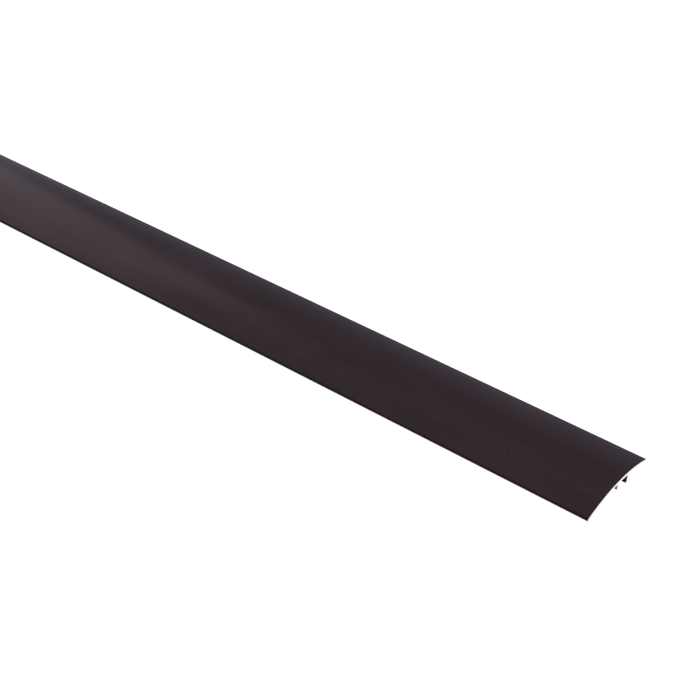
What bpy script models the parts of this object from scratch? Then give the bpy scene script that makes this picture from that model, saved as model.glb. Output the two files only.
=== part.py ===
"""Arched threshold cover strip with hidden drive-in fixings.

One aluminium extrusion lies over the joint between two floors. A channel with inward lips runs
along its underside. The flat heads of five steel pins slide in that channel, and each pin is
driven into a slit nylon plug that sits in a hole in the floor.

Frame: metres, +X along the strip, +Y across it towards its back edge, +Z up. The origin is at
the middle of the strip's length and width, on the floor that its two long edges rest on.
"""

import math

import bpy

MM = 0.001

# ---------------------------------------------------------------- driving dimensions
STRIP_LENGTH = 730.0 * MM
STRIP_WIDTH = 41.0 * MM
STRIP_HEIGHT = 5.0 * MM          # floor to the crown of the arch
CROWN_WALL = 1.25 * MM           # wall of the arch at its crown
EDGE_RADIUS = 0.8 * MM           # full-round nose along each long edge

CHANNEL_OFFSET = 3.15 * MM       # channel centre, behind the middle of the strip
CHANNEL_WIDTH = 6.0 * MM         # clear width between the two legs
LEG_WALL = 1.2 * MM
LIP_REACH = 0.7 * MM             # how far each lip turns in under the pin heads
LIP_THICKNESS = 0.5 * MM
FRONT_LEG_RISE = 1.4 * MM        # the front leg stops short of the floor, the back leg is a foot

FIXING_COUNT = 5
END_MARGIN = 65.0 * MM           # strip end to the first fixing

PIN_RADIUS = 1.3 * MM
PIN_LENGTH = 18.4 * MM           # under the head, to the point
PIN_POINT = 2.6 * MM             # length of the conical point
HEAD_CROWN = 0.15 * MM           # rise of the slightly domed head
HEAD_FLAT = 0.6                  # share of the head's radius and rise where its dome bends

PLUG_WALL = 1.0 * MM
PLUG_TIP_WALL = 1.5 * MM         # nylon below the pin's point
PLUG_COLLAR = 5.0 * MM           # unslit ring at the mouth of the plug
PLUG_TIP_TAPER = 0.72            # share of the plug's radius that its flat tip keeps
BARB_HEIGHT = 0.4 * MM
BARB_COUNT = 5
BARB_LENGTH = 0.8                # share of the barb pitch that the sloping barb takes
SLIT_WIDTH = 0.8 * MM

RUNNING_GAP = 0.3 * MM           # clearance between neighbouring pieces

ARCH_STEPS = 44                  # facets across the outer arc
NOSE_STEPS = 10                  # facets round each long edge
ROUND_STEPS = 20                 # facets round a pin or a plug

# ---------------------------------------------------------------- sizes that follow from them
NOSE_Y = STRIP_WIDTH / 2 - EDGE_RADIUS
LEG_INNER_FRONT = CHANNEL_OFFSET - CHANNEL_WIDTH / 2
LEG_INNER_BACK = CHANNEL_OFFSET + CHANNEL_WIDTH / 2
LEG_OUTER_FRONT = LEG_INNER_FRONT - LEG_WALL
LEG_OUTER_BACK = LEG_INNER_BACK + LEG_WALL


def arc_centre_depth(top, offset):
    """Depth below the floor of the centre of an arc that has its top at height top and, grown by
    offset, passes through the centres of both edge noses."""
    reach = top + offset
    return (NOSE_Y**2 + EDGE_RADIUS**2 - reach**2) / (2 * (reach - EDGE_RADIUS))


OUTER_TOP = STRIP_HEIGHT
OUTER_DEPTH = arc_centre_depth(OUTER_TOP, -EDGE_RADIUS)
INNER_TOP = STRIP_HEIGHT - CROWN_WALL
INNER_DEPTH = arc_centre_depth(INNER_TOP, EDGE_RADIUS)


def inner_height(y):
    """Height of the underside of the arch at a distance y from the middle of the strip."""
    return math.sqrt((INNER_TOP + INNER_DEPTH) ** 2 - y**2) - INNER_DEPTH


HEAD_RADIUS = CHANNEL_WIDTH / 2 - RUNNING_GAP
HEAD_UNDERSIDE = FRONT_LEG_RISE + LIP_THICKNESS + RUNNING_GAP
HEAD_RIM_TOP = inner_height(CHANNEL_OFFSET + HEAD_RADIUS) - RUNNING_GAP - HEAD_CROWN
PIN_TIP = HEAD_UNDERSIDE - PIN_LENGTH

BORE_RADIUS = PIN_RADIUS + RUNNING_GAP
PLUG_RADIUS = BORE_RADIUS + PLUG_WALL
PLUG_TOP = -RUNNING_GAP
PLUG_BOTTOM = PIN_TIP - RUNNING_GAP - PLUG_TIP_WALL
SLIT_TOP = PLUG_TOP - PLUG_COLLAR

FIXING_PITCH = (STRIP_LENGTH - 2 * END_MARGIN) / (FIXING_COUNT - 1)


# ---------------------------------------------------------------- scene and materials
for stale in list(bpy.data.objects):
    bpy.data.objects.remove(stale, do_unlink=True)


def new_collection(name):
    collection = bpy.data.collections.new(name)
    bpy.context.scene.collection.children.link(collection)
    return collection


PARTS = new_collection("threshold_strip")
CUTTERS = new_collection("cutters")


def make_material(name, colour, metallic, roughness):
    material = bpy.data.materials.new(name)
    material.use_nodes = True
    shader = material.node_tree.nodes["Principled BSDF"]
    shader.inputs["Base Color"].default_value = (*colour, 1.0)
    shader.inputs["Metallic"].default_value = metallic
    shader.inputs["Roughness"].default_value = roughness
    material.diffuse_color = (*colour, 1.0)
    return material


def add_object(name, data, material, collection=None):
    """Links data as a named object and gives it a material of its own."""
    thing = bpy.data.objects.new(name, data)
    (collection or PARTS).objects.link(thing)
    if material is not None:
        data.materials.append(material)
    return thing


# ---------------------------------------------------------------- outlines
def arc_points(centre, radius, start, end, steps):
    """Points on an arc in the (y, z) plane, angles counted from +Z towards +Y, ends included."""
    points = []
    for step in range(steps + 1):
        angle = start + (end - start) * step / steps
        points.append((centre[0] + radius * math.sin(angle), centre[1] + radius * math.cos(angle)))
    return points


def underside_points(start_y, end_y):
    """Points along the underside of the arch, as closely spaced as those of the outer arc."""
    radius = INNER_TOP + INNER_DEPTH
    start = math.asin(start_y / radius)
    end = math.asin(end_y / radius)
    steps = max(1, round(ARCH_STEPS * abs(end_y - start_y) / STRIP_WIDTH))
    return arc_points((0.0, -INNER_DEPTH), radius, start, end, steps)


def strip_section():
    """The closed outline of the extrusion, round by the crown, the back edge and the legs."""
    lean_outside = math.atan2(NOSE_Y, EDGE_RADIUS + OUTER_DEPTH)
    lean_inside = math.atan2(NOSE_Y, EDGE_RADIUS + INNER_DEPTH)
    inner_reach = (INNER_TOP + INNER_DEPTH) * math.sin(lean_inside)
    crown = arc_points((0.0, -OUTER_DEPTH), OUTER_TOP + OUTER_DEPTH,
                       -lean_outside, lean_outside, ARCH_STEPS)
    back_nose = arc_points((NOSE_Y, EDGE_RADIUS), EDGE_RADIUS,
                           lean_outside, lean_inside + math.pi, NOSE_STEPS)
    back_leg = [
        (LEG_OUTER_BACK, 0.0),
        (LEG_INNER_BACK - LIP_REACH, 0.0),
        (LEG_INNER_BACK - LIP_REACH, LIP_THICKNESS),
        (LEG_INNER_BACK, LIP_THICKNESS),
    ]
    lip_top = FRONT_LEG_RISE + LIP_THICKNESS
    front_leg = [
        (LEG_INNER_FRONT, lip_top),
        (LEG_INNER_FRONT + LIP_REACH, lip_top),
        (LEG_INNER_FRONT + LIP_REACH, FRONT_LEG_RISE),
        (LEG_OUTER_FRONT, FRONT_LEG_RISE),
    ]
    front_nose = arc_points((-NOSE_Y, EDGE_RADIUS), EDGE_RADIUS,
                            math.pi - lean_inside, 2 * math.pi - lean_outside, NOSE_STEPS)
    outline = crown + back_nose[1:-1]
    outline += underside_points(inner_reach, LEG_OUTER_BACK)
    outline += back_leg
    outline += underside_points(LEG_INNER_BACK, LEG_INNER_FRONT)
    outline += front_leg
    outline += underside_points(LEG_OUTER_FRONT, -inner_reach)
    outline += front_nose[1:-1]
    return outline


# ---------------------------------------------------------------- pieces
def add_cover_profile():
    """The extrusion: its outline as a flat curve, extruded both ways from the middle."""
    curve = bpy.data.curves.new("cover_profile", "CURVE")
    curve.dimensions = "2D"
    curve.fill_mode = "BOTH"
    curve.extrude = STRIP_LENGTH / 2
    outline = strip_section()
    spline = curve.splines.new("POLY")
    spline.points.add(len(outline) - 1)
    for point, (y, z) in zip(spline.points, outline):
        point.co = (y, z, 0.0, 1.0)
    spline.use_cyclic_u = True
    bronze = make_material("anodised_dark_bronze", (0.030, 0.023, 0.024), 0.6, 0.38)
    cover = add_object("cover_profile", curve, bronze)
    # The flat curve's X, Y and Z become the strip's Y, Z and X.
    cover.rotation_euler = (math.radians(90), 0.0, math.radians(90))
    return cover


def turned_mesh(name, profile):
    """An open chain of points for a Screw modifier, as (radius, height) from top to bottom."""
    mesh = bpy.data.meshes.new(name)
    points = [(radius, 0.0, height) for radius, height in profile]
    mesh.from_pydata(points, [(n, n + 1) for n in range(len(points) - 1)], [])
    return mesh


def add_screw_modifier(thing):
    screw = thing.modifiers.new("turned", "SCREW")
    screw.axis = "Z"
    screw.angle = math.radians(360)
    screw.steps = ROUND_STEPS
    screw.render_steps = ROUND_STEPS
    screw.use_merge_vertices = True
    screw.merge_threshold = 0.01 * MM
    screw.use_smooth_shade = False


def pin_profile():
    """Domed head, plain shank and conical point, closed on the axis at both ends."""
    return [
        (0.0, HEAD_RIM_TOP + HEAD_CROWN),
        (HEAD_RADIUS * HEAD_FLAT, HEAD_RIM_TOP + HEAD_CROWN * HEAD_FLAT),
        (HEAD_RADIUS, HEAD_RIM_TOP),
        (HEAD_RADIUS, HEAD_UNDERSIDE),
        (PIN_RADIUS, HEAD_UNDERSIDE),
        (PIN_RADIUS, PIN_TIP + PIN_POINT),
        (0.0, PIN_TIP),
    ]


def plug_profile():
    """The blind bore from its bottom up, over the mouth, then down the barbed outside."""
    barb_zone = PLUG_TOP - PLUG_COLLAR / 2
    barb_pitch = (barb_zone - PLUG_BOTTOM) / (BARB_COUNT + 1)
    bore_bottom = PIN_TIP - RUNNING_GAP
    inside = [
        (0.0, bore_bottom),
        (BORE_RADIUS, bore_bottom + PIN_POINT),
        (BORE_RADIUS, PLUG_TOP),
    ]
    outside = [(PLUG_RADIUS, PLUG_TOP)]
    for barb in range(BARB_COUNT):
        shoulder = barb_zone - barb * barb_pitch
        outside.append((PLUG_RADIUS, shoulder))
        outside.append((PLUG_RADIUS + BARB_HEIGHT, shoulder - BARB_HEIGHT / 2))
        outside.append((PLUG_RADIUS, shoulder - barb_pitch * BARB_LENGTH))
    outside.append((PLUG_RADIUS * PLUG_TIP_TAPER, PLUG_BOTTOM))
    outside.append((0.0, PLUG_BOTTOM))
    return inside + outside


def add_slit_cutter(centre_x):
    """The flat blade that splits the lower part of a plug in two along the strip."""
    slit_bottom = PLUG_BOTTOM - SLIT_WIDTH
    bpy.ops.mesh.primitive_cube_add(size=1.0, location=(centre_x, CHANNEL_OFFSET,
                                                        (SLIT_TOP + slit_bottom) / 2))
    cutter = bpy.context.object
    cutter.name = "slit_cutter"
    reach = 2 * (PLUG_RADIUS + BARB_HEIGHT) + SLIT_WIDTH
    cutter.scale = (reach, SLIT_WIDTH, SLIT_TOP - slit_bottom)
    cutter.hide_render = True
    cutter.display_type = "WIRE"
    for collection in list(cutter.users_collection):
        collection.objects.unlink(cutter)
    CUTTERS.objects.link(cutter)
    return cutter


def add_fixing(number, centre_x, pin_mesh, plug_mesh):
    """One pin with its plug, hung on an empty that stands for their place along the channel."""
    station = bpy.data.objects.new(f"fixing_{number}_station", None)
    PARTS.objects.link(station)
    station.location = (centre_x, CHANNEL_OFFSET, 0.0)

    pin = add_object(f"fixing_pin_{number}", pin_mesh, None)
    pin.parent = station
    add_screw_modifier(pin)

    plug = add_object(f"floor_plug_{number}", plug_mesh, None)
    plug.parent = station
    add_screw_modifier(plug)
    slit = plug.modifiers.new("slit", "BOOLEAN")
    slit.operation = "DIFFERENCE"
    slit.solver = "EXACT"
    slit.object = add_slit_cutter(centre_x)


def add_fixings():
    steel = make_material("zinc_plated_steel", (0.56, 0.57, 0.58), 1.0, 0.35)
    nylon = make_material("natural_nylon", (0.80, 0.79, 0.74), 0.0, 0.45)
    for index in range(FIXING_COUNT):
        pin_mesh = turned_mesh(f"fixing_pin_{index + 1}", pin_profile())
        pin_mesh.materials.append(steel)
        plug_mesh = turned_mesh(f"floor_plug_{index + 1}", plug_profile())
        plug_mesh.materials.append(nylon)
        centre_x = -STRIP_LENGTH / 2 + END_MARGIN + index * FIXING_PITCH
        add_fixing(index + 1, centre_x, pin_mesh, plug_mesh)


add_cover_profile()
add_fixings()
bpy.context.view_layer.update()
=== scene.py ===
# %% [markdown]
# # A threshold cover strip with hidden fixings
# The real object is one aluminium extrusion that lies over the joint between two floors in a
# doorway. Five steel pins hang by their heads in a channel underneath, and each is driven into a
# nylon plug in the floor, so nothing shows from above. This lesson builds three kinds of piece with
# Blender's own tools: a drawn section pushed along its length, and two turned shapes. Then it gives
# each a finish, and sets up a plain studio and a camera.

# %% Load the frame
import math

import bmesh
import bpy
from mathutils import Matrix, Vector


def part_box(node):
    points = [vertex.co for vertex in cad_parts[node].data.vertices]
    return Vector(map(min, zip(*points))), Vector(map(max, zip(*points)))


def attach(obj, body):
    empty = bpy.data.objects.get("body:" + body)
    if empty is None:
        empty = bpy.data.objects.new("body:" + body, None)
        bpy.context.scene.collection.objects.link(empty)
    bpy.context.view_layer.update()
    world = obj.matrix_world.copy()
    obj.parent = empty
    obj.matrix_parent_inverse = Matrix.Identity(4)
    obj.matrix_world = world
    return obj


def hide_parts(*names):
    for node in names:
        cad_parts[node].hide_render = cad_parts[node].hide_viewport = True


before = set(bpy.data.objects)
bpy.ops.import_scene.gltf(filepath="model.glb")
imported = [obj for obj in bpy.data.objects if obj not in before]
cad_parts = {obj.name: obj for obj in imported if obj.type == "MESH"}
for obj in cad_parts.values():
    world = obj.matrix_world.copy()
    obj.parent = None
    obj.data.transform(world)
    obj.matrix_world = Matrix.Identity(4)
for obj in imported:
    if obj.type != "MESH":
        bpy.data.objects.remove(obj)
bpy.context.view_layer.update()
print("CAD nodes:", sorted(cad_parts))

# %% [markdown]
# ## Sizes
# The overall sizes come from the loaded frame, so the pieces always fit it. A box can't tell the
# small sizes, such as the wall of the arch. Each of those is named in millimetres where it is first
# needed, and MM turns it to metres.

# %% Sizes
MM = 0.001

STRIP_LOW, STRIP_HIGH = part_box("cover_profile")
STRIP_LENGTH = STRIP_HIGH.x - STRIP_LOW.x
HALF_WIDTH = STRIP_HIGH.y
STRIP_HEIGHT = STRIP_HIGH.z

FIXINGS = sorted(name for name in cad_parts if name.startswith("fixing_pin_"))
PIN_LOW, PIN_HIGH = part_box(FIXINGS[0])
CHANNEL_OFFSET = (PIN_LOW.y + PIN_HIGH.y) / 2
print(f"strip {STRIP_LENGTH / MM:.1f} mm long, {2 * HALF_WIDTH / MM:.1f} mm wide,",
      f"{STRIP_HEIGHT / MM:.1f} mm high; channel {CHANNEL_OFFSET / MM:.2f} mm off the middle")

# %% [markdown]
# ## A pen
# A section or a turned outline could be typed in as a list of points, but nobody draws that way.
# Here a plane is added and merged to a single point, and that point is the pen: extruding it
# draws a straight line, and spinning it draws an arc. What it leaves behind is the outline.

# %% The pen
MERGE_REACH = 0.005 * MM             # points closer than this are one point


def start_pen(name, point):
    """A new piece that is one selected point, left in edit mode."""
    bpy.ops.object.select_all(action="DESELECT")
    bpy.ops.mesh.primitive_plane_add(size=MM, location=point)
    piece = bpy.context.object
    piece.name = name
    piece.data.name = name
    bpy.ops.object.transform_apply(location=True, rotation=True, scale=True)
    bpy.ops.object.mode_set(mode="EDIT")
    bpy.ops.mesh.select_mode(type="VERT")
    bpy.ops.mesh.select_all(action="SELECT")
    bpy.ops.mesh.merge(type="CENTER")
    return piece


def pen_place(piece):
    """Where the pen is: the selected point."""
    points = bmesh.from_edit_mesh(piece.data).verts
    return next(point.co.copy() for point in points if point.select)


def draw_to(piece, target):
    """A straight line from the pen to target."""
    move = Vector(target) - pen_place(piece)
    bpy.ops.mesh.extrude_region_move(TRANSFORM_OT_translate={"value": move})


def draw_arc(centre, axis, angle, steps):
    """An arc round centre, turning by angle about axis."""
    bpy.ops.mesh.spin(steps=steps, angle=angle, center=centre, axis=axis)


def close_outline():
    """Merges the points where two strokes meet, and fills the outline with one flat face."""
    bpy.ops.mesh.select_all(action="SELECT")
    bpy.ops.mesh.remove_doubles(threshold=MERGE_REACH)
    bpy.ops.mesh.edge_face_add()


print(f"strokes that end within {MERGE_REACH / MM:.3f} mm of each other meet")

# %% [markdown]
# Pressed, headed and moulded parts have no perfectly sharp corners. A corner of the outline is
# found again by its place, and a vertex bevel rounds it while the outline is still flat. That is
# easier than bevelling the finished edge, because one point is easier to pick than a whole edge.

# %% Round a corner
SAME_PLACE = 0.01 * MM               # how near a point is to the place it is looked up by


def select_points(piece, places):
    """Selects only the points that lie at one of the places."""
    bpy.ops.mesh.select_all(action="DESELECT")
    bpy.ops.mesh.select_mode(type="VERT")
    mesh = bmesh.from_edit_mesh(piece.data)
    for point in mesh.verts:
        point.select = any((point.co - Vector(place)).length < SAME_PLACE for place in places)
    mesh.select_flush_mode()
    bmesh.update_edit_mesh(piece.data)


def round_corners(piece, places, radius, segments):
    """Rounds the corners of a flat face that lie at the places."""
    select_points(piece, places)
    bpy.ops.mesh.bevel(offset=radius, segments=segments, affect="VERTICES")


print(f"corners are found to {SAME_PLACE / MM:.2f} mm")

# %% [markdown]
# ## The section of the strip
# An extrusion press pushes hot aluminium through a die, so the strip has one section all along.
# The arch is an outer and an inner arc with different centres: both run tangent into the
# full-round edges, so the wall is a little thicker at the edges than at the crown. Two legs with
# inward lips hang under it, behind the middle, and between them the pin heads slide. Drawing the
# section and extruding it once follows how the real one is made, and keeps each edge straight.

# %% Arcs of the arch
CROWN_WALL = 1.25 * MM               # wall of the arch at its crown
EDGE_RADIUS = 0.8 * MM               # full-round long edges
NOSE_Y = HALF_WIDTH - EDGE_RADIUS


def centre_depth(top, offset):
    """Depth below the floor of the centre of the arc that tops out at top and, grown by offset,
    runs through the centres of both rounded edges."""
    reach = top + offset
    return (NOSE_Y**2 + EDGE_RADIUS**2 - reach**2) / (2 * (reach - EDGE_RADIUS))


OUTER_DEPTH = centre_depth(STRIP_HEIGHT, -EDGE_RADIUS)
OUTER_RADIUS = STRIP_HEIGHT + OUTER_DEPTH
INNER_TOP = STRIP_HEIGHT - CROWN_WALL
INNER_DEPTH = centre_depth(INNER_TOP, EDGE_RADIUS)
INNER_RADIUS = INNER_TOP + INNER_DEPTH
OUTER_LEAN = math.atan2(NOSE_Y, EDGE_RADIUS + OUTER_DEPTH)
INNER_LEAN = math.atan2(NOSE_Y, EDGE_RADIUS + INNER_DEPTH)


def underside(y):
    """Height of the underside of the arch at y."""
    return math.sqrt(INNER_RADIUS**2 - y**2) - INNER_DEPTH


print(f"outer arc {OUTER_RADIUS / MM:.1f} mm radius, inner arc {INNER_RADIUS / MM:.1f} mm,",
      f"leaning {math.degrees(OUTER_LEAN):.1f} degrees at the edges")

# %% [markdown]
# The pen now goes once round the section: over the crown, round the back edge, along the underside
# with a detour round each leg, and round the front edge to where it began. The crown gets many
# small steps, because a long satin highlight shows every flat.

# %% Strokes of the section
# With no window, spin turns clockwise about its axis, so about +X what is up goes towards +Y.
TOWARDS_BACK = (1.0, 0.0, 0.0)
UNDERSIDE_STEPS_PER_MM = 1.6
LEG_WALL = 1.2 * MM
CHANNEL_WIDTH = 6.0 * MM
BACK_INNER = CHANNEL_OFFSET + CHANNEL_WIDTH / 2
BACK_OUTER = BACK_INNER + LEG_WALL
FRONT_INNER = CHANNEL_OFFSET - CHANNEL_WIDTH / 2
FRONT_OUTER = FRONT_INNER - LEG_WALL


def draw_underside(piece, x, start_y, end_y):
    """The pen follows the underside of the arch from start_y to end_y."""
    turn = math.asin(end_y / INNER_RADIUS) - math.asin(start_y / INNER_RADIUS)
    steps = max(2, round(abs(end_y - start_y) / MM * UNDERSIDE_STEPS_PER_MM))
    draw_arc((x, 0.0, -INNER_DEPTH), TOWARDS_BACK, turn, steps)


def draw_leg(piece, x, corners, root_y):
    """Straight lines round the corners of a leg, and back up to the underside at root_y."""
    for y, z in corners:
        draw_to(piece, (x, y, z))
    draw_to(piece, (x, root_y, underside(root_y)))


print(f"back leg from {BACK_INNER / MM:.2f} to {BACK_OUTER / MM:.2f} mm behind the middle,",
      f"front leg from {FRONT_OUTER / MM:.2f} to {FRONT_INNER / MM:.2f} mm")

# %% Corners of the legs
LIP_REACH = 0.7 * MM
LIP_THICKNESS = 0.5 * MM
FRONT_LEG_RISE = 1.4 * MM            # the front leg stops short of the floor
BACK_LEG = [
    (BACK_OUTER, 0.0),
    (BACK_INNER - LIP_REACH, 0.0),
    (BACK_INNER - LIP_REACH, LIP_THICKNESS),
    (BACK_INNER, LIP_THICKNESS),
]
FRONT_LIP_TOP = FRONT_LEG_RISE + LIP_THICKNESS
FRONT_LEG = [
    (FRONT_INNER, FRONT_LIP_TOP),
    (FRONT_INNER + LIP_REACH, FRONT_LIP_TOP),
    (FRONT_INNER + LIP_REACH, FRONT_LEG_RISE),
    (FRONT_OUTER, FRONT_LEG_RISE),
]
mouth = BACK_LEG[1][0] - FRONT_LEG[1][0]
print(f"channel {CHANNEL_WIDTH / MM:.1f} mm wide, its mouth {mouth / MM:.1f} mm between the lips")

# %% Draw the section
CROWN_STEPS = 110
NOSE_STEPS = 22
NOSE_TURN = math.pi + INNER_LEAN - OUTER_LEAN
ROOT_FILLET = 0.35 * MM              # where a leg meets the arch
CORNER_ROUND = 0.15 * MM             # corners that a press die leaves on legs and lips


def draw_section(x):
    """The closed section of the strip as one flat face at x, its corners rounded."""
    front_y = -OUTER_RADIUS * math.sin(OUTER_LEAN)
    front_z = OUTER_RADIUS * math.cos(OUTER_LEAN) - OUTER_DEPTH
    inner_reach = INNER_RADIUS * math.sin(INNER_LEAN)

    strip = start_pen("cover_strip", (x, front_y, front_z))
    draw_arc((x, 0.0, -OUTER_DEPTH), TOWARDS_BACK, 2 * OUTER_LEAN, CROWN_STEPS)
    draw_arc((x, NOSE_Y, EDGE_RADIUS), TOWARDS_BACK, NOSE_TURN, NOSE_STEPS)
    draw_underside(strip, x, inner_reach, BACK_OUTER)
    draw_leg(strip, x, BACK_LEG, BACK_INNER)
    draw_underside(strip, x, BACK_INNER, FRONT_INNER)
    draw_leg(strip, x, FRONT_LEG, FRONT_OUTER)
    draw_underside(strip, x, FRONT_OUTER, -inner_reach)
    draw_arc((x, -NOSE_Y, EDGE_RADIUS), TOWARDS_BACK, NOSE_TURN, NOSE_STEPS)

    close_outline()
    roots = [(x, y, underside(y)) for y in (BACK_OUTER, BACK_INNER, FRONT_INNER, FRONT_OUTER)]
    round_corners(strip, roots, ROOT_FILLET, segments=5)
    corners = [(x, y, z) for y, z in BACK_LEG + FRONT_LEG]
    round_corners(strip, corners, CORNER_ROUND, segments=3)
    return strip


strip = draw_section(STRIP_LOW.x)
print("section drawn:", len(bmesh.from_edit_mesh(strip.data).verts), "points")

# %% [markdown]
# ## From section to strip
# One extrusion gives the length. The saw leaves a burr at each end that is then broken off, so
# the rim of both end faces gets a tiny chamfer: it catches the light as a thin line, which is
# what makes an edge look like cut metal and not like paper.

# %% Extrude and break the sawn edges
RIM_CHAMFER = 0.07 * MM

bpy.ops.mesh.select_all(action="SELECT")
bpy.ops.mesh.extrude_region_move(TRANSFORM_OT_translate={"value": (STRIP_LENGTH, 0.0, 0.0)})
bpy.ops.mesh.select_all(action="SELECT")
bpy.ops.mesh.normals_make_consistent(inside=False)


def is_sawn(face):
    """True for a face that looks along the strip, as only the two sawn ends do."""
    return abs(face.normal.x) > 0.99


def select_end_faces(piece):
    """Selects only the two sawn faces."""
    bpy.ops.mesh.select_all(action="DESELECT")
    bpy.ops.mesh.select_mode(type="FACE")
    mesh = bmesh.from_edit_mesh(piece.data)
    for face in mesh.faces:
        face.select = is_sawn(face)
    mesh.select_flush_mode()
    bmesh.update_edit_mesh(piece.data)


select_end_faces(strip)
bpy.ops.mesh.region_to_loop()
bpy.ops.mesh.bevel(offset=RIM_CHAMFER, segments=2, affect="EDGES")
bpy.ops.object.mode_set(mode="OBJECT")
bpy.ops.object.shade_smooth_by_angle(angle=math.radians(32))
print("strip:", len(strip.data.polygons), "faces")

# %% [markdown]
# ## Turned pieces
# A pin is cold-headed wire and a plug is moulded round a core pin, so both are round about their
# own axis. Each is half an outline drawn with the same pen, from the axis out and back to the
# axis, and one full spin turns it. The first of each is made in place and copied along the strip.

# %% Turn an outline
ROUND_STEPS = 56
FIRST_X = (PIN_LOW.x + PIN_HIGH.x) / 2


def turn_outline(name, outline):
    """A solid turned about the first fixing's axis, from (radius, height) pairs that start and
    end on the axis. A third number is the radius that rounds that corner."""
    def place(radius, height):
        return (FIRST_X + radius, CHANNEL_OFFSET, height)

    piece = start_pen(name, place(*outline[0][:2]))
    for corner in outline[1:] + outline[:1]:
        draw_to(piece, place(*corner[:2]))
    close_outline()
    for corner in outline:
        if len(corner) == 3:
            round_corners(piece, [place(*corner[:2])], corner[2], segments=4)
    # Only the outline is spun, so the flat face and its side along the axis go first.
    bpy.ops.mesh.select_all(action="SELECT")
    bpy.ops.mesh.delete(type="ONLY_FACE")
    mesh = bmesh.from_edit_mesh(piece.data)
    for edge in mesh.edges:
        edge.select_set(all(abs(point.co.x - FIRST_X) < MERGE_REACH for point in edge.verts))
    bmesh.update_edit_mesh(piece.data)
    bpy.ops.mesh.delete(type="EDGE")
    bpy.ops.mesh.select_all(action="SELECT")
    bpy.ops.mesh.spin(steps=ROUND_STEPS, angle=math.tau,
                      center=(FIRST_X, CHANNEL_OFFSET, 0.0), axis=(0.0, 0.0, 1.0))
    bpy.ops.mesh.select_all(action="SELECT")
    bpy.ops.mesh.remove_doubles(threshold=MERGE_REACH)
    bpy.ops.mesh.normals_make_consistent(inside=False)
    bpy.ops.object.mode_set(mode="OBJECT")
    return piece


print(f"first fixing at X {FIRST_X / MM:.0f} mm, turned in {ROUND_STEPS} steps")

# %% [markdown]
# ### The fixing pin
# Its thin flat head is a little domed from the heading die, with a rounded rim so that it slides
# in the channel without catching. The shank has shallow rings rolled into it, like a ring-shank
# nail, which is what grips in the plug, and it ends in a blunt point.

# %% Fixing pin
HEAD_GAP = 0.3 * MM                  # from the lip to the head that slides over it
HEAD_UNDERSIDE = FRONT_LIP_TOP + HEAD_GAP
HEAD_RADIUS = (PIN_HIGH.y - PIN_LOW.y) / 2
HEAD_TOP = PIN_HIGH.z
PIN_TIP = PIN_LOW.z
SHANK_RADIUS = 1.3 * MM
RING_DEPTH = 0.14 * MM
RING_PITCH = 1.1 * MM
RING_COUNT = 9
RING_LAND = 0.6 * MM                 # plain shank between the point and the last ring
POINT_LENGTH = 2.6 * MM
POINT_FLAT = 0.12 * MM


def pin_outline():
    """Half the pin, from the middle of its head out, down the shank and in to the point."""
    outline = [
        (0.0, HEAD_TOP),
        (HEAD_RADIUS * 0.55, HEAD_TOP - 0.03 * MM),
        (HEAD_RADIUS, HEAD_TOP - 0.17 * MM, 0.2 * MM),
        (HEAD_RADIUS, HEAD_UNDERSIDE, 0.15 * MM),
        (SHANK_RADIUS, HEAD_UNDERSIDE, 0.25 * MM),
    ]
    first_ring = PIN_TIP + POINT_LENGTH + RING_COUNT * RING_PITCH + RING_LAND
    for ring in range(RING_COUNT):
        top = first_ring - ring * RING_PITCH
        outline += [
            (SHANK_RADIUS, top, 0.05 * MM),
            (SHANK_RADIUS - RING_DEPTH, top - RING_PITCH * 0.25, 0.08 * MM),
        ]
    outline += [
        (SHANK_RADIUS, first_ring - RING_COUNT * RING_PITCH, 0.05 * MM),
        (SHANK_RADIUS, PIN_TIP + POINT_LENGTH, 0.3 * MM),
        (POINT_FLAT, PIN_TIP, 0.05 * MM),
        (0.0, PIN_TIP),
    ]
    return outline


first_pin = turn_outline("fixing_pin", pin_outline())
bpy.ops.object.shade_smooth_by_angle(angle=math.radians(40))
print("pin:", len(first_pin.data.polygons), "faces")

# %% [markdown]
# ### The floor plug
# A nylon sleeve with a plain collar, saw-tooth barbs that let it in and not out, and a slit
# through its lower part, so that the pin spreads the two halves against the hole. It is turned
# together with its blind bore.

# %% Floor plug
PLUG_LOW, PLUG_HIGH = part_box("floor_plug_1")
PLUG_TOP = PLUG_HIGH.z
PLUG_BOTTOM = PLUG_LOW.z
BARB_RADIUS = (PLUG_HIGH.y - PLUG_LOW.y) / 2
BORE_RADIUS = 1.6 * MM
BODY_RADIUS = 2.6 * MM
BARB_ROOT = BODY_RADIUS * 0.93
PLUG_TIP_RADIUS = 1.9 * MM
BORE_BOTTOM = PIN_TIP - 0.3 * MM     # just below the pin's point
BORE_POINT = 2.6 * MM
BARB_COUNT = 8
BARB_PITCH = 1.7 * MM
COLLAR_LENGTH = 2.4 * MM


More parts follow.
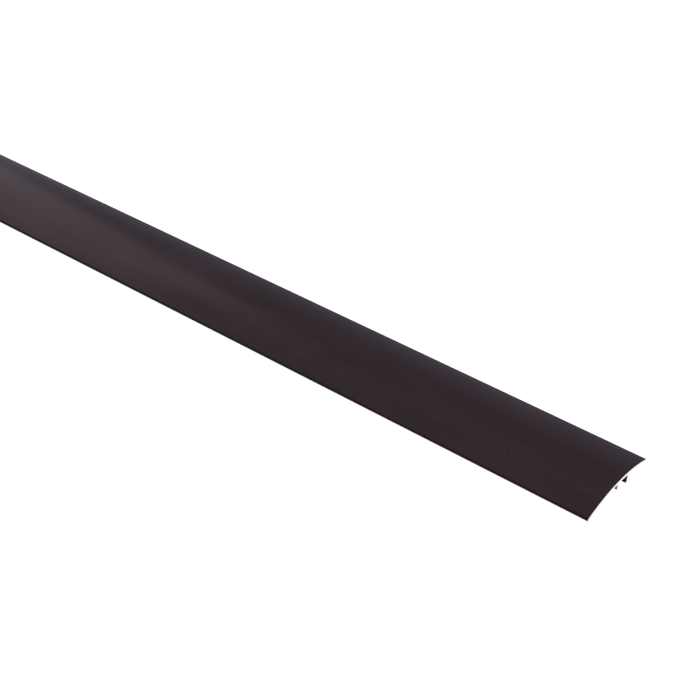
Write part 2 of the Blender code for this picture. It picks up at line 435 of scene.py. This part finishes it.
def plug_outline():
    """Half the plug, from its tip out, up over the barbs and collar, and down the bore."""
    outline = [
        (0.0, PLUG_BOTTOM),
        (PLUG_TIP_RADIUS, PLUG_BOTTOM, 0.3 * MM),
        (BARB_ROOT, PLUG_BOTTOM + 1.4 * MM, 0.3 * MM),
    ]
    last_barb = PLUG_TOP - COLLAR_LENGTH - BARB_COUNT * BARB_PITCH
    for barb in range(BARB_COUNT):
        low = last_barb + barb * BARB_PITCH
        outline += [
            (BARB_ROOT, low, 0.12 * MM),
            (BARB_RADIUS, low + BARB_PITCH * 0.78, 0.06 * MM),
            (BARB_ROOT, low + BARB_PITCH * 0.9, 0.08 * MM),
        ]
    outline += [
        (BODY_RADIUS, PLUG_TOP - COLLAR_LENGTH + 0.25 * MM, 0.1 * MM),
        (BODY_RADIUS, PLUG_TOP, 0.2 * MM),
        (BORE_RADIUS, PLUG_TOP, 0.25 * MM),
        (BORE_RADIUS, BORE_BOTTOM + BORE_POINT, 0.3 * MM),
        (0.0, BORE_BOTTOM),
    ]
    return outline


first_plug = turn_outline("floor_plug", plug_outline())
print("plug before its slit:", len(first_plug.data.polygons), "faces")

# %% [markdown]
# The mould forms the slit with a thin steel blade, which leaves its inner corners rounded. A block
# of the blade's shape, its edges bevelled, cuts the slit as a Boolean modifier and is then removed.

# %% Slit of the plug
SLIT_WIDTH = 0.8 * MM
SLIT_TOP = PLUG_TOP - 5.0 * MM
SLIT_BOTTOM = PLUG_BOTTOM - MM       # past the plug's tip, for a clean cut

bpy.ops.object.select_all(action="DESELECT")
bpy.ops.mesh.primitive_cube_add(size=1.0)
blade = bpy.context.object
blade.scale = (4 * BODY_RADIUS, SLIT_WIDTH, SLIT_TOP - SLIT_BOTTOM)
blade.location = (FIRST_X, CHANNEL_OFFSET, (SLIT_TOP + SLIT_BOTTOM) / 2)
bpy.ops.object.transform_apply(location=True, rotation=True, scale=True)
bpy.ops.object.mode_set(mode="EDIT")
bpy.ops.mesh.select_all(action="SELECT")
bpy.ops.mesh.bevel(offset=SLIT_WIDTH * 0.3, segments=3, affect="EDGES")
bpy.ops.object.mode_set(mode="OBJECT")

bpy.ops.object.select_all(action="DESELECT")
first_plug.select_set(True)
bpy.context.view_layer.objects.active = first_plug
slit = first_plug.modifiers.new("slit", "BOOLEAN")
slit.operation = "DIFFERENCE"
slit.solver = "EXACT"
slit.object = blade
bpy.ops.object.modifier_apply(modifier=slit.name)
bpy.data.objects.remove(blade)
bpy.ops.object.shade_smooth_by_angle(angle=math.radians(38))
print("plug:", len(first_plug.data.polygons), "faces")

# %% [markdown]
# ## Helpers for finishes
# A colour on a screen is sRGB, and shaders work in linear light, so one function turns a hex
# value. One more adds a node with its settings and links, which keeps each finish a short list. An
# input is given by its name, or by its number where a node has several inputs of one name.

# %% Colour and node helpers
def srgb(hex_value):
    """A linear RGBA colour from an sRGB hex value such as 8A6B4F."""
    channels = [int(hex_value[place:place + 2], 16) / 255 for place in (0, 2, 4)]
    linear = [c / 12.92 if c <= 0.04045 else ((c + 0.055) / 1.055) ** 2.4 for c in channels]
    return (*linear, 1.0)


def add_node(tree, kind, settings=None, inputs=None, stops=()):
    """A node in tree. A setting is a property, an input is a value or an output to link, and the
    stops of a colour ramp are (position, colour) pairs."""
    node = tree.nodes.new(kind)
    for name, value in (settings or {}).items():
        setattr(node, name, value)
    for name, value in (inputs or {}).items():
        if isinstance(value, bpy.types.NodeSocket):
            tree.links.new(value, node.inputs[name])
        else:
            node.inputs[name].default_value = value
    if stops:
        ramp = node.color_ramp.elements
        for position, colour in stops[1:-1]:
            ramp.new(position).color = colour
        ramp[0].position, ramp[0].color = stops[0]
        ramp[-1].position, ramp[-1].color = stops[-1]
    return node


def new_finish(name):
    """A material with only a Principled shader, and its node tree."""
    finish = bpy.data.materials.new(name)
    finish.use_nodes = True
    return finish, finish.node_tree, finish.node_tree.nodes["Principled BSDF"]


def drawn_out(tree, stretch, turn=0.0):
    """Object coordinates on which a pattern is drawn out along the strip, or at turn to it."""
    place = add_node(tree, "ShaderNodeTexCoord")
    return add_node(tree, "ShaderNodeMapping", {"vector_type": "TEXTURE"}, {
        "Vector": place.outputs["Object"], "Rotation": (0.0, 0.0, turn),
        "Scale": (stretch, 1.0, 1.0)})


def shades(dark, middle, light, spread):
    """Three stops of a colour ramp, the outer two spread either side of the middle, where a noise
    pattern has most of its values."""
    return [(0.5 - spread, srgb(dark)), (0.5, srgb(middle)), (0.5 + spread, srgb(light))]


print("mid grey 808080 in linear light:", [round(channel, 3) for channel in srgb("808080")])

# %% [markdown]
# ## Anodised aluminium, satin dark bronze
# The profile is etched matt, then anodised and dyed. The oxide is part of the metal, so it keeps a
# metal's gloss under a dark colour, and turns pale only at a glancing angle. The die leaves faint
# lines along the length, the etch leaves a soft cloudiness, and handling leaves a few hairlines.
# Real die lines and hairlines are some hundredths of a millimetre wide, and both are drawn coarser
# to show at all.

# %% Lines, clouds and scratches
DIE_LINE_SPACING = 0.35 * MM
DIE_LINE_STRETCH = 400
CLOUD_SIZE = 12 * MM
CLOUD_STRETCH = 4
CLOUD_SHARE = 0.65
HAIRLINE_WIDTH = 0.35 * MM
HAIRLINE_STRETCH = 22
HANDLED_PATCH = 18 * MM
OXIDE_RELIEF = 0.004 * MM


def hairlines(tree, turn):
    """Sparse scratches, turned from the length of the strip: 1 on a scratch, 0 elsewhere."""
    place = drawn_out(tree, HAIRLINE_STRETCH, turn)
    streaks = add_node(tree, "ShaderNodeTexNoise", inputs={
        "Vector": place.outputs["Vector"], "Scale": 1 / HAIRLINE_WIDTH, "Detail": 1.0})
    sparse = add_node(tree, "ShaderNodeMapRange", inputs={
        "Value": streaks.outputs["Fac"], "From Min": 0.70, "From Max": 0.78})
    return sparse.outputs["Result"]


def scratches(tree):
    """Hairlines in two directions, only in the patches where the strip was handled."""
    either = add_node(tree, "ShaderNodeMath", {"operation": "MAXIMUM"}, {
        0: hairlines(tree, math.radians(8)), 1: hairlines(tree, math.radians(-37))})
    handled_place = drawn_out(tree, 1.0)
    handled = add_node(tree, "ShaderNodeTexNoise", inputs={
        "Vector": handled_place.outputs["Vector"], "Scale": 1 / HANDLED_PATCH, "Detail": 2.0})
    where = add_node(tree, "ShaderNodeMapRange", inputs={
        "Value": handled.outputs["Fac"], "From Min": 0.45, "From Max": 0.65, "To Max": 0.5})
    worn = add_node(tree, "ShaderNodeMath", {"operation": "MULTIPLY"}, {
        0: either.outputs["Value"], 1: where.outputs["Result"]})
    return worn.outputs["Value"]


print(f"die lines {DIE_LINE_SPACING / MM:.2f} mm apart,",
      f"hairlines {HAIRLINE_WIDTH / MM:.2f} mm wide")

# %% [markdown]
# The colour comes from the lines and clouds through a narrow ramp of three browns, and the same
# pattern moves the roughness a little, so gloss and colour change together as on a real etch.

# %% Dark bronze anodised aluminium
# The colour inputs and the colour output of a Mix node, by number.
MIX_A, MIX_B, MIX_RESULT = 6, 7, 2


def dark_bronze_anodised_aluminium():
    finish, tree, shader = new_finish("anodised_aluminium_dark_bronze")
    line_place = drawn_out(tree, DIE_LINE_STRETCH)
    lines = add_node(tree, "ShaderNodeTexNoise", inputs={
        "Vector": line_place.outputs["Vector"], "Scale": 1 / DIE_LINE_SPACING,
        "Detail": 4.0, "Roughness": 0.65})
    cloud_place = drawn_out(tree, CLOUD_STRETCH)
    cloud = add_node(tree, "ShaderNodeTexNoise", inputs={
        "Vector": cloud_place.outputs["Vector"], "Scale": 1 / CLOUD_SIZE, "Detail": 4.0})
    mixed = add_node(tree, "ShaderNodeMix", {"data_type": "FLOAT"}, {
        "Factor": CLOUD_SHARE, "A": lines.outputs["Fac"], "B": cloud.outputs["Fac"]})
    shade = add_node(tree, "ShaderNodeValToRGB", inputs={"Fac": mixed.outputs["Result"]},
                     stops=shades("2D2527", "32292B", "372D2F", 0.2))
    marked = add_node(tree, "ShaderNodeMix", {"data_type": "RGBA"}, {
        0: scratches(tree), MIX_A: shade.outputs["Color"], MIX_B: srgb("51484A")})
    tree.links.new(marked.outputs[MIX_RESULT], shader.inputs["Base Color"])

    gloss = add_node(tree, "ShaderNodeMapRange", inputs={
        "Value": mixed.outputs["Result"], "From Min": 0.3, "From Max": 0.7,
        "To Min": 0.27, "To Max": 0.35})
    tree.links.new(gloss.outputs["Result"], shader.inputs["Roughness"])
    relief = add_node(tree, "ShaderNodeBump", inputs={
        "Strength": 0.3, "Distance": OXIDE_RELIEF, "Height": lines.outputs["Fac"]})
    tree.links.new(relief.outputs["Normal"], shader.inputs["Normal"])
    shader.inputs["Metallic"].default_value = 1.0
    # The dyed oxide keeps the metal from turning as pale at a glancing angle as bare metal does.
    shader.inputs["Specular Tint"].default_value = (0.75, 0.75, 0.78, 1.0)
    return finish


bronze = dark_bronze_anodised_aluminium()
print("made", bronze.name)

# %% [markdown]
# ## Sawn aluminium
# The strip is cut to length after anodising, so its ends show bare metal. A circular saw leaves
# fine arcs across the cut; on a face this thin they read as short parallel scratches. The metal is
# bright, a little cool, and rougher than the anodised skin.

# %% Bare aluminium, sawn
SAW_MARK_SPACING = 0.18 * MM
SAW_MARK_STRETCH = 25
SAW_MARK_LEAN = math.radians(24)     # from upright, where the blade crossed the section


def sawn_aluminium():
    finish, tree, shader = new_finish("aluminium_sawn_bare")
    place = add_node(tree, "ShaderNodeTexCoord")
    turned = add_node(tree, "ShaderNodeMapping", inputs={
        "Vector": place.outputs["Object"], "Rotation": (SAW_MARK_LEAN, 0.0, 0.0),
        "Scale": (1.0, 1.0, 1 / SAW_MARK_STRETCH)})
    marks = add_node(tree, "ShaderNodeTexNoise", inputs={
        "Vector": turned.outputs["Vector"], "Scale": 1 / SAW_MARK_SPACING,
        "Detail": 3.0, "Roughness": 0.6})
    shade = add_node(tree, "ShaderNodeValToRGB", inputs={"Fac": marks.outputs["Fac"]},
                     stops=shades("DCDBE2", "EBEAF0", "F6F6FA", 0.2))
    tree.links.new(shade.outputs["Color"], shader.inputs["Base Color"])
    gloss = add_node(tree, "ShaderNodeMapRange", inputs={
        "Value": marks.outputs["Fac"], "From Min": 0.3, "From Max": 0.7,
        "To Min": 0.32, "To Max": 0.48})
    tree.links.new(gloss.outputs["Result"], shader.inputs["Roughness"])
    relief = add_node(tree, "ShaderNodeBump", inputs={
        "Strength": 0.6, "Distance": 0.01 * MM, "Height": marks.outputs["Fac"]})
    tree.links.new(relief.outputs["Normal"], shader.inputs["Normal"])
    shader.inputs["Metallic"].default_value = 1.0
    return finish


bare = sawn_aluminium()
print("made", bare.name)

# %% [markdown]
# ## Zinc-plated steel
# Bright zinc is a thin electroplated coat over cold-formed wire. It is a cool, pale metal with a
# passivation film that turns it faintly yellow and blue in places, and a crystal mottle that is
# finer on a real pin and is drawn coarser to show.

# %% Bright zinc-plated steel
ZINC_MOTTLE = 0.5 * MM
PASSIVATION_PATCH = 3.5 * MM


def zinc_plated_steel():
    finish, tree, shader = new_finish("steel_bright_zinc_plated")
    place = add_node(tree, "ShaderNodeTexCoord")
    film = add_node(tree, "ShaderNodeTexNoise", inputs={
        "Vector": place.outputs["Object"], "Scale": 1 / PASSIVATION_PATCH, "Detail": 2.0})
    shade = add_node(tree, "ShaderNodeValToRGB", inputs={"Fac": film.outputs["Fac"]},
                     stops=shades("B9BEC8", "C6C8CC", "CFCBBE", 0.18))
    tree.links.new(shade.outputs["Color"], shader.inputs["Base Color"])
    mottle = add_node(tree, "ShaderNodeTexNoise", inputs={
        "Vector": place.outputs["Object"], "Scale": 1 / ZINC_MOTTLE, "Detail": 4.0})
    gloss = add_node(tree, "ShaderNodeMapRange", inputs={
        "Value": mottle.outputs["Fac"], "From Min": 0.3, "From Max": 0.7,
        "To Min": 0.2, "To Max": 0.38})
    tree.links.new(gloss.outputs["Result"], shader.inputs["Roughness"])
    relief = add_node(tree, "ShaderNodeBump", inputs={
        "Strength": 0.35, "Distance": 0.02 * MM, "Height": mottle.outputs["Fac"]})
    tree.links.new(relief.outputs["Normal"], shader.inputs["Normal"])
    shader.inputs["Metallic"].default_value = 1.0
    return finish


zinc = zinc_plated_steel()
print("made", zinc.name)

# %% [markdown]
# ## Natural nylon
# Undyed polyamide is milky and slightly yellow, and lets a little light in, which softens its
# shadows. A spark-eroded mould gives it a fine even grain that keeps highlights broad.

# %% Natural nylon, moulded
MOULD_GRAIN = 0.12 * MM
MELT_CLOUD = 4 * MM
LIGHT_DEPTH = 0.6 * MM


def natural_nylon():
    finish, tree, shader = new_finish("nylon_natural_moulded")
    place = add_node(tree, "ShaderNodeTexCoord")
    cloud = add_node(tree, "ShaderNodeTexNoise", inputs={
        "Vector": place.outputs["Object"], "Scale": 1 / MELT_CLOUD, "Detail": 2.0})
    shade = add_node(tree, "ShaderNodeValToRGB", inputs={"Fac": cloud.outputs["Fac"]},
                     stops=shades("CFCABB", "D8D4C6", "DEDACE", 0.2))
    tree.links.new(shade.outputs["Color"], shader.inputs["Base Color"])
    grain = add_node(tree, "ShaderNodeTexNoise", inputs={
        "Vector": place.outputs["Object"], "Scale": 1 / MOULD_GRAIN, "Detail": 2.0})
    gloss = add_node(tree, "ShaderNodeMapRange", inputs={
        "Value": grain.outputs["Fac"], "From Min": 0.3, "From Max": 0.7,
        "To Min": 0.42, "To Max": 0.55})
    tree.links.new(gloss.outputs["Result"], shader.inputs["Roughness"])
    relief = add_node(tree, "ShaderNodeBump", inputs={
        "Strength": 0.3, "Distance": 0.02 * MM, "Height": grain.outputs["Fac"]})
    tree.links.new(relief.outputs["Normal"], shader.inputs["Normal"])
    shader.inputs["IOR"].default_value = 1.53
    shader.inputs["Subsurface Weight"].default_value = 0.25
    shader.inputs["Subsurface Radius"].default_value = (1.0, 0.85, 0.6)
    shader.inputs["Subsurface Scale"].default_value = LIGHT_DEPTH
    return finish


nylon = natural_nylon()
print("made", nylon.name)

# %% [markdown]
# ## Finish the strip
# The whole strip is anodised, and only the two sawn faces take the bare metal. The strip then
# rides on the body of the CAD strip and stands for it.

# %% Finish and hang the strip
strip.data.materials.append(bronze)
strip.data.materials.append(bare)
sawn_faces = [face for face in strip.data.polygons if is_sawn(face)]
for face in sawn_faces:
    face.material_index = 1
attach(strip, "cover")
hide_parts("cover_profile")
print("sawn faces:", len(sawn_faces))

# %% [markdown]
# ## Copy the fixings
# All five pins and plugs are alike, so the first of each is duplicated with a mesh of its own and
# moved to its neighbour's place along the channel. Each rides on its own body, because each slides
# by itself.

# %% Copies along the channel
first_pin.data.materials.append(zinc)
first_plug.data.materials.append(nylon)


def copy_along(first, name, distance):
    """A copy of first with its own mesh, distance further along the strip."""
    bpy.ops.object.select_all(action="DESELECT")
    first.select_set(True)
    bpy.context.view_layer.objects.active = first
    bpy.ops.object.duplicate()
    piece = bpy.context.object
    piece.name = name
    piece.data.name = name
    piece.location.x = distance
    bpy.ops.object.transform_apply(location=True, rotation=True, scale=True)
    return piece


def hang_fixing(first, kind, body, node, number):
    """The copy that stands for one CAD node, at the node's place and on its own body."""
    low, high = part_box(f"{node}_{number}")
    piece = copy_along(first, f"{kind}_{number}", (low.x + high.x) / 2 - FIRST_X)
    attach(piece, f"{body}_{number}")
    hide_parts(f"{node}_{number}")
    return piece


for number in range(1, len(FIXINGS) + 1):
    pin = hang_fixing(first_pin, "ring_shank_pin", body="pin", node="fixing_pin",
                      number=number)
    plug = hang_fixing(first_plug, "barbed_plug", body="plug", node="floor_plug",
                       number=number)
    print(pin.name, "and", plug.name, "in place")
bpy.data.objects.remove(first_pin)
bpy.data.objects.remove(first_plug)

# %% [markdown]
# ## Floor and light
# The setting is a pale seamless floor in a light tent: soft light from all round. The tent is a
# world shader whose brightness depends on direction. A satin metal shows the tent in its gloss, so
# it is the tent's darker sides, towards the viewer and past the strip's far end, that shape the
# arch. The floor gives off light of its own, so that it stays as white as the backdrop.

# %% Floor
FLOOR_DROP = 13 * MM                 # room below the plugs, which hang lower when they are pulled
FLOOR_SIZE = 40.0

bpy.ops.object.select_all(action="DESELECT")
bpy.ops.mesh.primitive_plane_add(size=FLOOR_SIZE, location=(0.0, 0.0, PLUG_BOTTOM - FLOOR_DROP))
floor = bpy.context.object
floor.name = "floor"
pale, tree, shader = new_finish("floor_pale")
shader.inputs["Base Color"].default_value = srgb("8C8C90")
shader.inputs["Roughness"].default_value = 0.9
shader.inputs["Emission Color"].default_value = (1.0, 1.0, 1.0, 1.0)
shader.inputs["Emission Strength"].default_value = 0.93
floor.data.materials.append(pale)
print(f"floor {FLOOR_DROP / MM:.0f} mm below the plugs")

# %% Light tent
world = bpy.data.worlds.new("light_tent")
bpy.context.scene.world = world
world.use_nodes = True
tent = world.node_tree
tent.nodes.clear()
direction = add_node(tent, "ShaderNodeTexCoord")
part = add_node(tent, "ShaderNodeSeparateXYZ", inputs={"Vector": direction.outputs["Generated"]})
# Cool near the horizon and neutral overhead.
height = add_node(tent, "ShaderNodeValToRGB", inputs={"Fac": part.outputs["Z"]}, stops=[
    (0.0, (0.94, 0.89, 1.07, 1.0)),
    (0.5, (0.92, 0.90, 0.98, 1.0)),
    (1.0, (0.98, 0.96, 0.95, 1.0)),
])
# Dark where the viewer stands, and dimmer past the far end of the strip.
behind_viewer = add_node(tent, "ShaderNodeMapRange", inputs={
    "Value": part.outputs["Y"], "From Min": -0.8, "From Max": 0.0, "To Min": 0.35, "To Max": 1.0})
far_end = add_node(tent, "ShaderNodeMapRange", inputs={
    "Value": part.outputs["X"], "From Min": -0.8, "From Max": -0.3, "To Min": 0.55, "To Max": 1.0})
shaped = add_node(tent, "ShaderNodeMath", {"operation": "MULTIPLY"}, {
    0: behind_viewer.outputs["Result"], 1: far_end.outputs["Result"]})
soft = add_node(tent, "ShaderNodeBackground", inputs={
    "Color": height.outputs["Color"], "Strength": shaped.outputs["Value"]})
plain = add_node(tent, "ShaderNodeBackground", inputs={
    "Color": (1.0, 1.0, 1.0, 1.0), "Strength": 1.04})
ray = add_node(tent, "ShaderNodeLightPath")
# What is seen directly behind the strip is plain white.
backdrop = add_node(tent, "ShaderNodeMixShader", inputs={
    0: ray.outputs["Is Camera Ray"],
    1: soft.outputs["Background"],
    2: plain.outputs["Background"],
})
add_node(tent, "ShaderNodeOutputWorld", inputs={"Surface": backdrop.outputs["Shader"]})
print("light tent:", len(tent.nodes), "nodes")

# %% [markdown]
# Two softboxes add what the tent can't. One hangs overhead and lifts the whole strip a little. The
# other stands high beyond the far end, and gives the far half of the arch its broad highlight.

# %% Softboxes
def soft_light(name, place, aim, size, power):
    """A square area light at place that looks at aim."""
    lamp = bpy.data.lights.new(name, "AREA")
    lamp.size = size
    lamp.energy = power
    light = bpy.data.objects.new(name, lamp)
    bpy.context.scene.collection.objects.link(light)
    light.location = place
    light.rotation_euler = (Vector(aim) - Vector(place)).to_track_quat("-Z", "Y").to_euler()
    return light


lights = [
    soft_light("overhead_softbox", place=(0.3, 0.1, 1.8), aim=(0.3, 0.0, 0.0),
               size=2.0, power=1.2),
    soft_light("left_softbox", place=(-1.10, 0.33, 0.88), aim=(0.1, 0.0, 0.0),
               size=1.4, power=6.9),
]
# Colours are shown as the shaders give them, with no film curve.
bpy.context.scene.view_settings.view_transform = "Standard"
print("lights:", [light.name for light in lights])

# %% [markdown]
# ## Camera
# The strip is seen from above its sawn end, looking back along it with a moderate lens.

# %% Camera
CAMERA_PLACE = (0.5208, -0.3433, 0.3360)
CAMERA_DIP = 0.6429                  # radians below level
CAMERA_HEADING = 0.6812              # radians, turned from +Y towards -X
FOCAL_LENGTH = 71.39                 # millimetres on a 36 mm wide frame

lens = bpy.data.cameras.new("camera")
lens.lens = FOCAL_LENGTH
lens.sensor_width = 36.0
lens.clip_start = 0.01
camera = bpy.data.objects.new("camera", lens)
bpy.context.scene.collection.objects.link(camera)
camera.location = CAMERA_PLACE
camera.rotation_euler = (math.pi / 2 - CAMERA_DIP, 0.0, CAMERA_HEADING)
bpy.context.scene.camera = camera
print(f"camera looks {math.degrees(CAMERA_DIP):.0f} degrees down, {FOCAL_LENGTH:.0f} mm lens")
